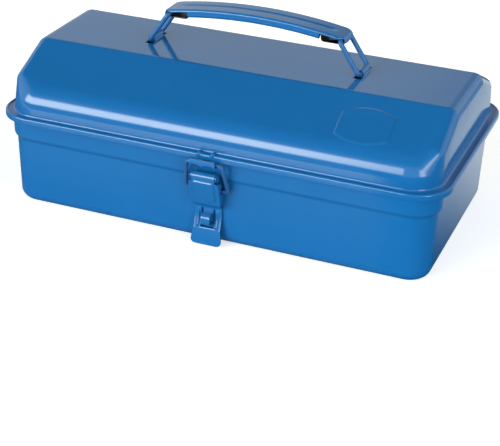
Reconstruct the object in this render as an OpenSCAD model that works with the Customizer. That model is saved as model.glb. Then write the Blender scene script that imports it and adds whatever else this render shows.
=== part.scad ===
// Hump-lid steel tool box: a drawn pan, a gambrel-topped lid on a rod hinge,
// a folding carrying handle and an over-centre draw latch with a padlock eye.
// Millimetres. +X runs along the box, -Y is the latch side, +Z is up and
// Z = 0 is the surface that the box stands on.

/* [Box] */
// Length over the rolled rim
rim_length = 360; // [330:1:420]
// Depth over the rolled rim
rim_depth = 198; // [180:1:230]
// Corner radius of the rolled rim, seen from above
rim_corner = 28; // [26:1:34]
// Thickness of the pressed sheet
sheet = 1.0; // [0.9:0.05:1.1]

/* [Pan] */
// Height of the shoulder that is pressed round the pan
shoulder_height = 54.5; // [50:0.5:56]
// Slope of the pan's wall, over the height up to the shoulder
wall_draft = 2.1; // [1.5:0.1:2.5]
// Radius between the pan's floor and its wall
floor_radius = 9; // [7:0.5:10]

/* [Lid] */
// Height of the lid's flat top
lid_top = 121.9; // [121:0.1:124]
// Half the depth of the flat top, up to the crease
top_half_depth = 38.6; // [36:0.2:40]
// Slope of the lid's two long sides, in degrees
slope = 24.9; // [24:0.1:26]
// Radius of the corners and of the long bend between the wall and the slope
bend_radius = 20.4; // [19:0.2:21]
// How far each end of the lid leans inwards towards the top
end_lean = 0.5; // [0:0.1:1.5]

/* [Handle] */
// Half the distance between the two bridges that hold the handle's wires
foot_half_spacing = 87.2; // [86.5:0.1:88]
// Height of the middle of the grip
grip_top = 157.9; // [157.8:0.1:159]
// Radius of the grip's arch
arch_radius = 394; // [390:1:430]
// Half the length of the grip
grip_half_length = 75.4; // [75.3:0.1:76]
// Radius of the handle's wire
handle_wire = 1.9; // [1.8:0.05:2]

/* [Latch] */
// Half the width of the latch lever
lever_half_width = 11.9; // [11.8:0.05:12.1]
// Half the width of the lever's finger tab
tab_half_width = 11.3; // [10.5:0.1:11.6]
// Radius of the latch's wire
latch_wire = 1.6; // [1.5:0.05:1.6]

/* [Hinge] */
// Radius of the hinge rod
rod_radius = 1.3; // [1.2:0.05:1.3]
// Distance between the middles of neighbouring pan knuckles
knuckle_pitch = 107; // [105:1:108]
// Length of one pan knuckle
knuckle_length = 58; // [56:1:60]

/* [Hidden] */
$fn = 48;
paint = "#2a6fb4";
paint_dark = "#1f5c9e";
black = "#1c1b1a";

half_x = rim_length / 2;
half_y = rim_depth / 2;

// The lid's body stands this far inside the rim, at the ends and at the sides
body_x = half_x - 7.3;
body_y = half_y - 5.1;

// Every profile of the pan and of the lid's rim is drawn as [distance outwards
// from the rim's outer line, height].
wall_foot = -10.7;
wall_head = wall_foot + wall_draft;
collar_foot = wall_head + 2.3;
collar_head = collar_foot + 0.5;
pan_bead = [-4.4, 73.9];
pan_bead_radius = 1.8;
flange_top = 77.4;
lip_foot = 72.2;

// The hinge's axis, [Y, Z]
axis_y = half_y - 2.5;
axis_z = 75.5;
knuckle_outer = 2.5;
running = 0.05;

// The latch's three lines, [Y, Z]: the lever's pin, the bail's feet and the
// bail's top run as it lies in the hook
pin_at = front(0.3, 59.5);
foot_at = front(-5.5, 47);
hooked_at = front(2.3, 71.4);

// The handle's wires: foot and head, [X, Z], and half their depth
wire_foot = [foot_half_spacing, lid_top + 1.5];
wire_head = [foot_half_spacing - 16.5, 147.9];
wire_half_depth = 11.5;

// ---------------------------------------------------------------- functions

function unit(v) = v / norm(v);

// Points of an arc about c, from angle a to angle b
function arc(c, r, a, b, n = 6) =
    [for (i = [0 : n]) c + r * [cos(a + (b - a) * i / n), sin(a + (b - a) * i / n)]];

// The turn at q, between p and s, rounded to radius r
function turn(p, q, s, r, n) =
    let (
        a = unit(p - q),
        b = unit(s - q),
        half = acos(a * b) / 2,
        c = q + unit(a + b) * r / sin(half),
        from = q + a * r / tan(half) - c,
        to = q + b * r / tan(half) - c,
        start = atan2(from.y, from.x),
        sweep = (atan2(to.y, to.x) - start + 540) % 360 - 180
    )
    [for (i = [0 : n]) c + r * [cos(start + sweep * i / n), sin(start + sweep * i / n)]];

// A bent line through the points p, with the inner ones rounded to radii r
function bent(p, r, n = 4) = [
    p[0],
    for (i = [1 : len(p) - 2]) each turn(p[i - 1], p[i], p[i + 1], r[i - 1], n),
    p[len(p) - 1]
];

function left_of(v) = [-v.y, v.x];

// The line p moved sideways by t, to its left as it runs
function beside(p, t) = [
    for (i = [0 : len(p) - 1])
        let (
            a = unit(p[max(i, 1)] - p[max(i, 1) - 1]),
            b = unit(p[min(i, len(p) - 2) + 1] - p[min(i, len(p) - 2)]),
            m = unit(left_of(a) + left_of(b))
        )
        p[i] + m * t / (m * left_of(a))
];

function reversed(p) = [for (i = [len(p) - 1 : -1 : 0]) p[i]];

// The outline of sheet metal of thickness t along the line p, on its left
function folded(p, t) = concat(p, reversed(beside(p, t)));

// [Y, Z] of a point on the latch side, at a distance in front of the rim
function front(ahead, z) = [-half_y - ahead, z];

// Y of the pan's outer face at a height below the shoulder, on the latch side
function wall_y(z) = -half_y - wall_foot - wall_draft * z / shoulder_height;

// ------------------------------------------------------------------ helpers

// Extrudes a [Y, Z] outline along X
module along_x(from, to) {
    translate([from, 0, 0]) rotate([90, 0, 90]) linear_extrude(height = to - from) children();
}

// Extrudes a [Y, Z] outline to both sides of X = 0
module across(half) {
    along_x(-half, half) children();
}

// A cylinder along X about a [Y, Z] point
module rod_x(at, r, from, to) {
    translate([from, at.x, at.y]) rotate([0, 90, 0]) cylinder(r = r, h = to - from);
}

// Draws the children at +X and again as its mirror image
module both_sides() {
    children();
    mirror([1, 0, 0]) children();
}

// A rectangle with round corners
module round_rect(x, y, r) {
    square([2 * x - 2 * r, 2 * y], center = true);
    square([2 * x, 2 * y - 2 * r], center = true);
    for (i = [-1, 1], j = [-1, 1]) translate([i * (x - r), j * (y - r)]) circle(r);
}

// Carries a profile once round a box of half sizes x and y with corners of
// radius r: four straight runs and four corners
module carry_round(x, y, r) {
    for (i = [0, 1]) rotate([0, 0, 180 * i]) {
        translate([x - r, r - y, 0]) rotate([90, 0, -90])
            linear_extrude(height = 2 * (x - r)) translate([r, 0]) children();
        translate([x - r, y - r, 0]) rotate([90, 0, 0])
            linear_extrude(height = 2 * (y - r)) translate([r, 0]) children();
        translate([x - r, y - r, 0]) rotate_extrude(angle = 90) translate([r, 0]) children();
        translate([x - r, r - y, 0]) rotate([0, 0, -90])
            rotate_extrude(angle = 90) translate([r, 0]) children();
    }
}

// A wire along the points p, with the turn at each point bent to its radius in
// bend. A closed wire also joins its last point to its first. The straight
// lengths reach a little way into the bends, which are thicker by a hair to
// hold them.
module wire(p, r, bend, closed = false) {
    n = len(p);
    for (i = [0 : closed ? n - 1 : n - 2]) {
        a = p[i];
        b = p[(i + 1) % n];
        d = unit(b - a);
        next = (i + 1) % n;
        skip_a = closed || i > 0 ? bend[i] * tan(turn_angle(p, i) / 2) - 0.3 : 0;
        skip_b = closed || i < n - 2 ? bend[next] * tan(turn_angle(p, next) / 2) - 0.3 : 0;
        placed(a + d * skip_a, d) cylinder(r = r, h = norm(b - a) - skip_a - skip_b);
    }
    for (i = [closed ? 0 : 1 : closed ? n - 1 : n - 2]) elbow(p, i, r, bend[i]);
}

// The angle that a wire turns through at its point i
function turn_angle(p, i) =
    let (n = len(p), a = unit(p[i] - p[(i + n - 1) % n]), b = unit(p[(i + 1) % n] - p[i]))
    acos(max(-1, min(1, a * b)));

// Stands the children's Z axis along d, at the point at
module placed(at, d) {
    side = unit(abs(d.z) > 0.9 ? cross([0, 1, 0], d) : cross([0, 0, 1], d));
    frame(at, side, cross(d, side), d) children();
}

module frame(at, x, y, z) {
    multmatrix([
        [x.x, y.x, z.x, at.x],
        [x.y, y.y, z.y, at.y],
        [x.z, y.z, z.z, at.z],
        [0, 0, 0, 1]
    ]) children();
}

// The round bend of a wire at its point i
module elbow(p, i, r, bend) {
    n = len(p);
    a = unit(p[i] - p[(i + n - 1) % n]);
    b = unit(p[(i + 1) % n] - p[i]);
    angle = turn_angle(p, i);
    normal = unit(cross(a, b));
    outwards = cross(a, normal);
    centre = p[i] - a * bend * tan(angle / 2) - outwards * bend;
    frame(centre, outwards, a, normal) rotate_extrude(angle = angle) translate([bend, 0])
        circle(r + 0.04);
}

// ---------------------------------------------------------------------- pan

// The pan's wall in section, from the floor's edge up to the rolled bead
module pan_section() {
    line = bent(
        [
            [-24, 0], [wall_foot, 0], [wall_head, shoulder_height],
            [collar_foot, shoulder_height + 2.8], [collar_head, pan_bead.y]
        ],
        [floor_radius, 1.8, 1.6],
        5
    );
    polygon(folded(line, sheet));
    translate(pan_bead) circle(pan_bead_radius);
}

// One curl of the pan's rear edge round the hinge rod
module pan_knuckle(middle) {
    from = middle - knuckle_length / 2;
    to = middle + knuckle_length / 2;
    rod_x([axis_y, axis_z], knuckle_outer, from, to);
    along_x(from, to) polygon([
        [half_y + collar_head - sheet, pan_bead.y - 6], [half_y + collar_head, pan_bead.y - 6],
        [axis_y - knuckle_outer + 1.1, axis_z - 1.8], [axis_y - knuckle_outer + 1.1, axis_z],
        [axis_y - knuckle_outer, axis_z], [half_y + collar_head - sheet, axis_z - 2]
    ]);
}

module pan() color(paint) difference() {
    union() {
        carry_round(half_x, half_y, rim_corner) pan_section();
        linear_extrude(height = sheet) round_rect(half_x - 23, half_y - 23, rim_corner - 23);
        for (i = [-1 : 1]) pan_knuckle(i * knuckle_pitch);
    }
    // Gaps in the rear bead, where the lid's tongues reach the rod
    both_sides() translate([knuckle_length / 2 + 0.01, half_y + collar_head + 0.01, 70])
        cube([knuckle_pitch - knuckle_length - 0.02, 10, 10]);
    rod_x([axis_y, axis_z], rod_radius + running, -half_x, half_x);
    for (z = rivet_heights) translate([0, -half_y, z]) rotate([-90, 0, 0]) cylinder(r = 1.65, h = 20);
}

// ---------------------------------------------------------------------- lid

// One corner of the lid's body, as four rounds that the skin is drawn over:
// the wall's foot, the long bend, the end of the slope and the end of the top.
// inset is how far the skin is moved inwards, foot is the height it starts at.
module lid_corner(inset, foot) {
    translate([body_x - bend_radius, body_y - bend_radius, foot])
        cylinder(r = bend_radius - inset, h = flange_top + 1 - foot, $fn = 56);
    translate([body_x - bend_radius, body_y - bend_radius, on_slope(body_y - bend_radius, bend_radius)])
        rotate_extrude($fn = 56) intersection() {
            circle(bend_radius - inset, $fn = 56);
            square(bend_radius);
        }
    translate([body_x - end_lean - 8.2, 70.85, on_slope(70.85, 8.2)]) sphere(8.2 - inset, $fn = 32);
    translate([body_x - end_lean - 6.5, top_half_depth - 6.5 * tan(slope / 2), lid_top - 6.5])
        sphere(6.5 - inset, $fn = 32);
}

// Height of the middle of a ball of radius r that lies under the slope, at a
// distance from the middle plane
function on_slope(y, r) = lid_top - (y - top_half_depth) * tan(slope) - r / cos(slope);

module lid_body(inset, foot) {
    hull() for (i = [0, 1], j = [0, 1]) mirror([i, 0, 0]) mirror([0, j, 0]) lid_corner(inset, foot);
}

// The lid's rim in section: the flange, its rolled edge and the lip below it
module lid_rim_section() {
    line = bent([[-8, flange_top], [0, flange_top], [0, lip_foot]], [2.2], 5);
    polygon(folded(line, -sheet - 0.1));
}

// The cove between the lid's wall and the flange, as [distance outwards from
// the wall, height]
module lid_cove_section() {
    line = bent([[0.1, flange_top + 2.8], [0.1, flange_top], [3, flange_top]], [1.6], 5);
    polygon(folded(line, -sheet - 0.1));
}

// The outline of the plain pressed panel on the slope
module panel_outline() {
    polygon(concat(arc([0, -21.3], 38.5, 122, 58, 10), arc([0, 21.3], 38.5, -58, -122, 10)));
}

// A pressed bridge: a half-round tunnel that a handle wire turns in
module bridge() {
    translate([wire_foot.x, 7.8, wire_foot.y]) rotate([90, 0, 0]) cylinder(r = 3.2, h = 15.6);
    translate([wire_foot.x - 3.2, -7.8, lid_top - sheet]) cube([6.4, 15.6, 2.5]);
}

module lid() color(paint) difference() {
    union() {
        difference() {
            lid_pressing();
            lid_openings();
        }
        both_sides() tongue();
    }
    rod_x([axis_y, axis_z], rod_radius + running, -half_x, half_x);
}

module lid_pressing() {
    difference() {
        union() {
            lid_body(0, flange_top - 0.5);
            carry_round(half_x, half_y, rim_corner) lid_rim_section();
            carry_round(body_x, body_y, bend_radius) lid_cove_section();
        }
        lid_body(sheet, flange_top - 6);
    }
    both_sides() bridge();
    slope_panel();
    both_sides() rim_rib();
}

// A small rib over the rolled edge, one at each side of the latch
module rim_rib() {
    along_x(4.2, 6.2) translate([-half_y + 2.2, flange_top - 2.2]) intersection() {
        difference() {
            circle(2.9);
            circle(1.8);
        }
        translate([-3, -1.5]) square([3.6, 4.5]);
    }
}

module lid_openings() {
    both_sides() {
        // The bridge's bore, and the two openings that the wire turns through
        translate([wire_foot.x, 12, wire_foot.y]) rotate([90, 0, 0])
            cylinder(r = handle_wire + 0.1, h = 24);
        translate([wire_foot.x - handle_wire - 0.1, -7.9, lid_top - 5])
            cube([2 * handle_wire + 0.2, 15.8, 6.5]);
        for (j = [0, 1]) mirror([0, j, 0]) translate([wire_foot.x - 5, 7.8, lid_top - 8])
            cube([9.2, 7.6, 14]);
    }
    // No lip and no rolled edge along the hinge
    translate([-half_x + 12, half_y - 7, 60]) cube([rim_length - 24, 20, 16.25]);
    translate([-half_x + 28, axis_y + 1, 70]) cube([rim_length - 56, 20, 10]);
    // No flange where the pan's knuckles stand
    for (i = [-1 : 1]) translate([i * knuckle_pitch - knuckle_length / 2 - 0.4, 0, 70]) {
        translate([0, body_y + 0.05, 0]) cube([knuckle_length + 0.8, 20, 10]);
        translate([0, body_y - 3, 0]) cube([knuckle_length + 0.8, 20, 6.95]);
    }
}

// The raised panel, pressed out of the front slope near its right end
module slope_panel() {
    translate([109.4, -top_half_depth - 31.8 * cos(slope), lid_top - 31.8 * sin(slope) - 0.2])
        rotate([slope, 0, 0]) linear_extrude(height = 0.9) panel_outline();
}

// One tongue of the lid's rear flange, curled round the hinge rod
module tongue() {
    from = knuckle_length / 2 + 0.8;
    to = knuckle_pitch - knuckle_length / 2 - 0.8;
    rod_x([axis_y, axis_z], 2.4, from, to);
    translate([from, body_y - 0.6, axis_z + 1.3]) cube([to - from, 3.2, 1.1]);
}

// -------------------------------------------------------------------- hinge

module hinge_rod() color(paint_dark) {
    end = knuckle_pitch + knuckle_length / 2 - 0.5;
    rod_x([axis_y, axis_z], rod_radius, -end, end);
}

// ------------------------------------------------------------------- handle

// Carries a [Y, height] outline along the grip's arch, between two distances
// from the middle; height 0 is the grip's top surface
module along_arch(from, to) {
    a = asin(from / arch_radius);
    b = asin(to / arch_radius);
    translate([0, 0, grip_top - arch_radius]) rotate([90, 0, 0]) rotate([0, 0, 90 - b])
        rotate_extrude(angle = b - a, $fn = 360) translate([arch_radius, 0]) mirror([1, 0])
        rotate([0, 0, 90]) children();
}

// The grip's sheet in section: a flat top whose two edges are folded down and
// curled in
module grip_section() {
    curl = arc([9.7, -4.3], 2.8, 0, -232, 16);
    line = concat(
        [for (p = reversed(curl)) [-p.x, p.y]],
        [for (p = arc([-11, -1.5], 1.5, 180, 90, 5)) p],
        [for (p = arc([11, -1.5], 1.5, 90, 0, 5)) p],
        curl
    );
    polygon(folded(line, -sheet));
}

module grip() color(paint) difference() {
    union() {
        difference() {
            along_arch(-grip_half_length, grip_half_length) grip_section();
            // The curls stop where the guides begin
            both_sides() along_arch(53.5, 80) translate([-14, -10]) square([28, 8]);
        }
        // The two ends, folded down
        both_sides() intersection() {
            along_arch(grip_half_length - 1, grip_half_length) translate([-12.4, -4.6]) square([24.8, 4.2]);
            translate([0, -9.2, 0]) cube([100, 18.4, 200]);
        }
    }
    // The shallow groove pressed along the middle of the grip's top
    along_arch(-66, 66) translate([0, 7.6]) circle(8);
    // Clipped corners at the ends
    both_sides() for (j = [0, 1]) mirror([0, j, 0]) translate([grip_half_length, 12.5, 130])
        rotate([0, 0, 45]) cube([4.6, 12, 60], center = true);
}

// The black guide under one end of the grip, which the handle's wire slides in
module grip_guide() {
    difference() {
        intersection() {
            rotate([90, 0, 0]) translate([0, 0, -9.2]) linear_extrude(height = 18.4) polygon(bent(
                [[54.7, 160], [54.7, 144.9], [73.5, 144.9], [73.5, 160]],
                [3, 0.8], 6
            ));
            along_arch(50, 80) translate([-9.2, -20]) square([18.4, 18.95]);
        }
        translate([55.7, -10, 145.8]) cube([17.25, 20, 20]);
    }
}

module grip_guide_right() color(black) grip_guide();

module grip_guide_left() color(black) mirror([1, 0, 0]) grip_guide();

// The closed wire loop at one end of the handle
module handle_loop() {
    wire(
        [
            [wire_foot.x, -wire_half_depth, wire_foot.y], [wire_head.x, -wire_half_depth, wire_head.y],
            [wire_head.x, wire_half_depth, wire_head.y], [wire_foot.x, wire_half_depth, wire_foot.y]
        ],
        handle_wire, [3.2, 3.2, 3.2, 3.2], closed = true
    );
}

module handle_wire_right() color(paint_dark) handle_loop();

module handle_wire_left() color(paint_dark) mirror([1, 0, 0]) handle_loop();

// -------------------------------------------------------------------- latch

rivet_heights = [40, 47];

// The plate that is riveted to the pan: a wide part with two ears that hold the
// pin, and a narrow tongue with the padlock eye
module latch_plate() color(paint) difference() {
    union() {
        across(10.4) plate_blank(34, 52);
        across(4.2) plate_blank(15.5, 34.5);
        both_sides() along_x(9.4, 10.4) {
            polygon([
                [wall_y(36) - 0.06, 36], [wall_y(52) - 0.06, 52], front(-5.6, 55.2),
                pin_at + [2.4, 2.1], pin_at + [-1.4, -2.9], front(-3.6, 50.5), front(-7, 37)
            ]);
            translate(pin_at) circle(3.2);
        }
        // The padlock eye: a strip bent out through the lever's window
        across(3.6) polygon(folded(
            bent(
                [[wall_y(26) - 0.06, 26.6], front(-1.4, 26.6), front(-1.4, 17.2), [wall_y(17) - 0.06, 17.2]],
                [4.2, 2.6], 8
            ),
            1.2
        ));
    }
    rod_x(pin_at, 1.52, -20, 20);
    for (z = rivet_heights) translate([0, wall_y(z) - 5, z]) rotate([-90, 0, 0]) cylinder(r = 1.65, h = 20);
}

// Sheet that lies on the pan's wall between two heights, in section
module plate_blank(low, high) {
    polygon([
        [wall_y(low) - 0.06, low], [wall_y(high) - 0.06, high],
        [wall_y(high) - 1.26, high], [wall_y(low) - 1.26, low]
    ]);
}

// The rivets that hold the plate, headed on both sides
module latch_rivets() color(paint_dark) for (z = rivet_heights) translate([0, wall_y(z), z]) rotate([-90, 0, 0]) {
    translate([0, 0, -1.4]) cylinder(r = 1.6, h = 3.0);
    translate([0, 0, -2.4]) cylinder(r = 3, h = 0.95);
    translate([0, 0, 1.25]) cylinder(r = 3, h = 0.9);
}

module latch_pin() color(paint_dark) {
    rod_x(pin_at, 1.5, -10.8, 10.8);
    both_sides() rod_x(pin_at, 2.3, 10.45, 11.1);
}

// The lever's front face from its roll down to the finger tab, as a bent line
lever_face = concat(
    [for (p = arc([0, 0], 3.2, 60, 180, 8)) pin_at + p],
    bent(
        [
            front(3.5, 57.2), front(-2.6, 35.4), front(-7.0, 31.0),
            front(-7.5, 14.4), front(-0.7, 1.0)
        ],
        [2.4, 2.4, 3], 4
    )
);
lever_tilt = atan2(6.1, 21.8);

// The lever as it is seen from the front: roll, plate, neck and finger tab
module lever_outline() {
    translate([-9.1, 50]) square([18.2, 20]);
    translate([-lever_half_width, 33.4]) square([2 * lever_half_width, 22.2]);
    translate([-tab_half_width, 4.5]) square([2 * tab_half_width, 31]);
    translate([-tab_half_width + 4, -1]) square([2 * tab_half_width - 8, 7]);
    for (i = [-1, 1]) translate([i * (tab_half_width - 4), 4.5]) circle(4.2);
}

module latch_lever() color(paint) difference() {
    union() {
        intersection() {
            across(lever_half_width) polygon(folded(lever_face, 1.2));
            rotate([90, 0, 0]) translate([0, 0, half_y - 20]) linear_extrude(height = 40) lever_outline();
        }
        across(9.1) translate(pin_at) circle(3.2);
        // Side flanges, which carry the feet of the wire bail
        both_sides() along_x(lever_half_width - 1.1, lever_half_width) {
            polygon([
                front(2.6, 55.6), front(-3.2, 35.2), front(-6.4, 38.5), foot_at + [2.7, -0.8],
                foot_at + [2.2, 1.8], front(-2.6, 55.2)
            ]);
            translate(foot_at) circle(2.8);
        }
        // Raised panel on the lever's face
        translate([0, -half_y - 0.6, 47]) rotate([lever_tilt, 0, 0]) translate([0, 0.35, 0.6])
            rotate([90, 0, 0]) linear_extrude(height = 1.0) round_rect(7.7, 9.6, 1.6);
        // A bulged strip at each side of the window
        both_sides() intersection() {
            translate([8.4, -half_y + 9.2, 13]) cylinder(r = 3, h = 19);
            translate([5, -half_y + 6, 14.6]) cube([6, 2, 15.6]);
        }
    }
    rod_x(pin_at, 1.5 + running, -20, 20);
    rod_x(foot_at, latch_wire + running, -20, 20);
    // The window that the padlock eye comes through
    translate([-5.5, -half_y - 8, 14.6]) cube([11, 20, 15.2]);
}

// The wire that the lever pulls down over the lid's hook
module latch_bail() color(paint_dark) wire(
    [
        [-10.8, foot_at.x, foot_at.y], [-17, foot_at.x, foot_at.y],
        [-14.4, hooked_at.x, hooked_at.y], [14.4, hooked_at.x, hooked_at.y],
        [17, foot_at.x, foot_at.y], [10.8, foot_at.x, foot_at.y]
    ],
    latch_wire, [0, 2.6, 4.6, 4.6, 2.6, 0]
);

// The hook under the lid's lip that the wire holds down
module lid_hook() color(paint) difference() {
    across(10) polygon(folded(
        bent([front(-2.25, 75.4), front(-2.25, 68.1), front(6.3, 68.1), front(6.3, 71.9)], [1.8, 2.2], 4),
        -1.1
    ));
    // Two shallow arches in its front edge, and a notch over each of them
    for (x = [-4.8, 4.8]) {
        translate([x, -half_y - 9, 61.6]) rotate([-90, 0, 0]) cylinder(r = 7.6, h = 6);
        translate([x - 3.6, -half_y - 9, 71.2]) cube([1.6, 4, 2]);
    }
}

pan();
lid();
hinge_rod();
grip();
grip_guide_left();
grip_guide_right();
handle_wire_left();
handle_wire_right();
latch_plate();
latch_rivets();
latch_pin();
latch_lever();
latch_bail();
lid_hook();
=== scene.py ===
"""Looks of a pressed-steel tool box with a hump lid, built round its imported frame.

Sizes are in millimetres until a mesh is made, which is in metres. +X runs along
the box, -Y is the latch side, +Z is up and Z = 0 is what the box stands on.
"""

import logging
import math
from dataclasses import dataclass, replace
from enum import Enum
from typing import Callable, Sequence

import bmesh
import bpy
from mathutils import Matrix, Vector


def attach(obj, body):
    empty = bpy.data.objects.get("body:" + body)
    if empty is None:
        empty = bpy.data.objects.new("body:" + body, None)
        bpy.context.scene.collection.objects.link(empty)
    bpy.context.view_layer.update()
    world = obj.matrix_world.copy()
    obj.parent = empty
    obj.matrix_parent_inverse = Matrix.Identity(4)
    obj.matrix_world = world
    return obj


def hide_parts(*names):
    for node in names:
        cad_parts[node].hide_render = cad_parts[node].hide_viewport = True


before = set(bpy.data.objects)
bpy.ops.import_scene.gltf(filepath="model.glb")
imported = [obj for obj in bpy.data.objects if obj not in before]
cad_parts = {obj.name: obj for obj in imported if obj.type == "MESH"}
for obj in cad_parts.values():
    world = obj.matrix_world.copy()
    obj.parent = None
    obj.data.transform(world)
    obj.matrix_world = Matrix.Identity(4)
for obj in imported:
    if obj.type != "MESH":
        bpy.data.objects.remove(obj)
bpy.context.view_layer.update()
LOG = logging.getLogger("tool_box")
MM = 0.001
QUARTERS = ((1, 1), (-1, 1), (-1, -1), (1, -1))
EDGE_CREASE = 32.0

Ring = list[Vector]
Item = bpy.types.Object
Node = bpy.types.Node
Socket = bpy.types.NodeSocket
Work = bmesh.types.BMesh
Colour = tuple[float, float, float]
Place = tuple[float, float, float]
Span = tuple[float, float]


class Body(str, Enum):
    """The moving bodies that a piece can ride on."""

    BOX = "box"
    LID = "lid"
    GRIP = "grip"
    WIRE_LEFT = "handle_wire_left"
    WIRE_RIGHT = "handle_wire_right"
    LEVER = "latch_lever"
    BAIL = "latch_bail"


class Side(Enum):
    """The two ends of the box, by the sign of their X."""

    LEFT = -1
    RIGHT = 1

    @property
    def word(self) -> str:
        """The side as it stands in a name."""
        return self.name.lower()

    def span(self, near: float, far: float) -> list[float]:
        """Two distances from the middle as places along X, the lower one first."""
        return sorted((self.value * near, self.value * far))


# ---------------------------------------------------------- nodes and finishes


@dataclass(frozen=True)
class Step:
    """A smooth step: where it starts and ends, and the result before and after it."""

    start: float
    end: float
    low: float = 0.0
    high: float = 1.0


class NodeSheet:
    """A node tree with short calls to add and join its nodes."""

    def __init__(self, tree: bpy.types.NodeTree) -> None:
        """Starts on an existing tree."""
        self.tree = tree

    def add(self, kind: str, **settings: object) -> Node:
        """Adds one node.

        Args:
            kind: the node's Blender type.
            settings: plain properties first, then inputs as in_NAME or in_NUMBER. An input
                takes a value, or the socket that is joined to it.

        Returns:
            The new node.
        """
        node = self.tree.nodes.new(kind)
        for key, value in settings.items():
            if not key.startswith("in_"):
                setattr(node, key, value)
                continue
            name = key[3:]
            socket = node.inputs[int(name)] if name.isdigit() else node.inputs[name.replace("_", " ")]
            if isinstance(value, Socket):
                self.join(value, socket)
            else:
                socket.default_value = value
        return node

    def join(self, start: Socket, end: Socket) -> None:
        """Links an output to an input."""
        self.tree.links.new(start, end)

    def math(self, operation: str, *values: object) -> Socket:
        """The result of a Math node on sockets and plain numbers."""
        inputs = {f"in_{i}": value for i, value in enumerate(values)}
        return self.add("ShaderNodeMath", operation=operation, **inputs).outputs[0]

    def product(self, *values: Socket) -> Socket:
        """The product of several values.

        Args:
            values: the sockets to multiply, in order.

        Returns:
            The socket with the result.
        """
        total = values[0]
        for value in values[1:]:
            total = self.math("MULTIPLY", total, value)
        return total

    def step(self, value: Socket, step: Step) -> Socket:
        """A smooth step of a value.

        Args:
            value: the socket to read.
            step: the step.

        Returns:
            The socket with the result.
        """
        return self.add(
            "ShaderNodeMapRange", interpolation_type="SMOOTHSTEP", in_Value=value, in_From_Min=step.start,
            in_From_Max=step.end, in_To_Min=step.low, in_To_Max=step.high,
        ).outputs["Result"]

    def show(self, rays: str, plain: Node, chosen: Node, out: Node) -> None:
        """Shows one shader, and another one to some rays.

        Args:
            rays: the Light Path output that picks those rays.
            plain: the shader for all the others.
            chosen: the shader for those.
            out: the tree's output node.
        """
        path = self.add("ShaderNodeLightPath")
        pick = self.add("ShaderNodeMixShader", in_0=path.outputs[rays], in_1=plain.outputs[0],
                        in_2=chosen.outputs[0])
        self.join(pick.outputs[0], out.inputs["Surface"])


@dataclass(frozen=True)
class Noise:
    """A noise over the object, by its scale per metre, detail and roughness."""

    scale: float
    detail: float
    roughness: float = 0.5


@dataclass(frozen=True)
class Coat:
    """A smooth finish: two shades in soft clouds, an uneven gloss and a faint relief.

    Attributes:
        name: the material's name.
        slot: the record's material slot; not used.
        deep: the darker shade.
        thin: the lighter shade.
        ior: its index of refraction.
        clouds: the noise between the two shades.
        gloss: the noise of the gloss.
        gloss_span: the part of that noise that is used.
        roughness: the roughness at the two ends of that part.
        relief: the noise of the relief.
        height: how high the relief is, in millimetres.
        strength: how much of the relief shows.
    """

    name: str
    slot: str
    deep: Colour
    thin: Colour
    ior: float
    clouds: Noise
    gloss: Noise
    gloss_span: Span
    roughness: Span
    relief: Noise
    height: float
    strength: float

    def material(self) -> bpy.types.Material:
        """Builds the material once, and hands out the same one after that.

        Returns:
            The material.
        """
        found = bpy.data.materials.get(self.name)
        if found:
            return found
        made = bpy.data.materials.new(self.name)
        made.use_nodes = True
        sheet = NodeSheet(made.node_tree)
        shader = made.node_tree.nodes["Principled BSDF"]
        shader.inputs["IOR"].default_value = self.ior
        place = sheet.add("ShaderNodeTexCoord")
        clouds, gloss, relief = (
            sheet.add("ShaderNodeTexNoise", in_Vector=place.outputs["Object"], in_Scale=noise.scale,
                      in_Detail=noise.detail, in_Roughness=noise.roughness).outputs["Fac"]
            for noise in (self.clouds, self.gloss, self.relief)
        )
        tone = sheet.add("ShaderNodeMix", data_type="RGBA", in_0=clouds, in_6=(*self.deep, 1.0),
                         in_7=(*self.thin, 1.0))
        satin = sheet.add("ShaderNodeMapRange", in_Value=gloss, in_From_Min=self.gloss_span[0],
                          in_From_Max=self.gloss_span[1], in_To_Min=self.roughness[0],
                          in_To_Max=self.roughness[1])
        bump = sheet.add("ShaderNodeBump", in_Height=relief, in_Strength=self.strength,
                         in_Distance=self.height * MM)
        sheet.join(tone.outputs[2], shader.inputs["Base Color"])
        sheet.join(satin.outputs["Result"], shader.inputs["Roughness"])
        sheet.join(bump.outputs["Normal"], shader.inputs["Normal"])
        return made


PRESSED_ENAMEL = Coat(
    "pressed_enamel", "blue_enamel", deep=(0.0075, 0.129, 0.380), thin=(0.0100, 0.143, 0.418), ior=1.57,
    clouds=Noise(34.0, 3.0), gloss=Noise(900.0, 2.0, 0.6), gloss_span=(0.3, 0.7), roughness=(0.065, 0.115),
    relief=Noise(420.0, 1.5, 0.45), height=0.004, strength=0.5,
)
# The same blue enamel made darker: painted shade and painted dark reflections on the wires, and on the
# rivets, pin and hinge rod that wear it too.
PAINTED_SHADE_ENAMEL = replace(
    PRESSED_ENAMEL, name="wire_enamel", slot="wire_enamel", deep=(0.0045, 0.070, 0.230),
    thin=(0.0060, 0.082, 0.260), height=0.002,
)
GUIDE_BLACK = Coat(
    "guide_black", "black_guide", deep=(0.008, 0.0075, 0.007), thin=(0.022, 0.018, 0.014), ior=1.48,
    clouds=Noise(120.0, 2.0), gloss=Noise(1600.0, 2.0), gloss_span=(0.0, 1.0), roughness=(0.22, 0.38),
    relief=Noise(1600.0, 2.0), height=0.02, strength=0.4,
)


# ------------------------------------------------------------ lines and rings


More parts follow.
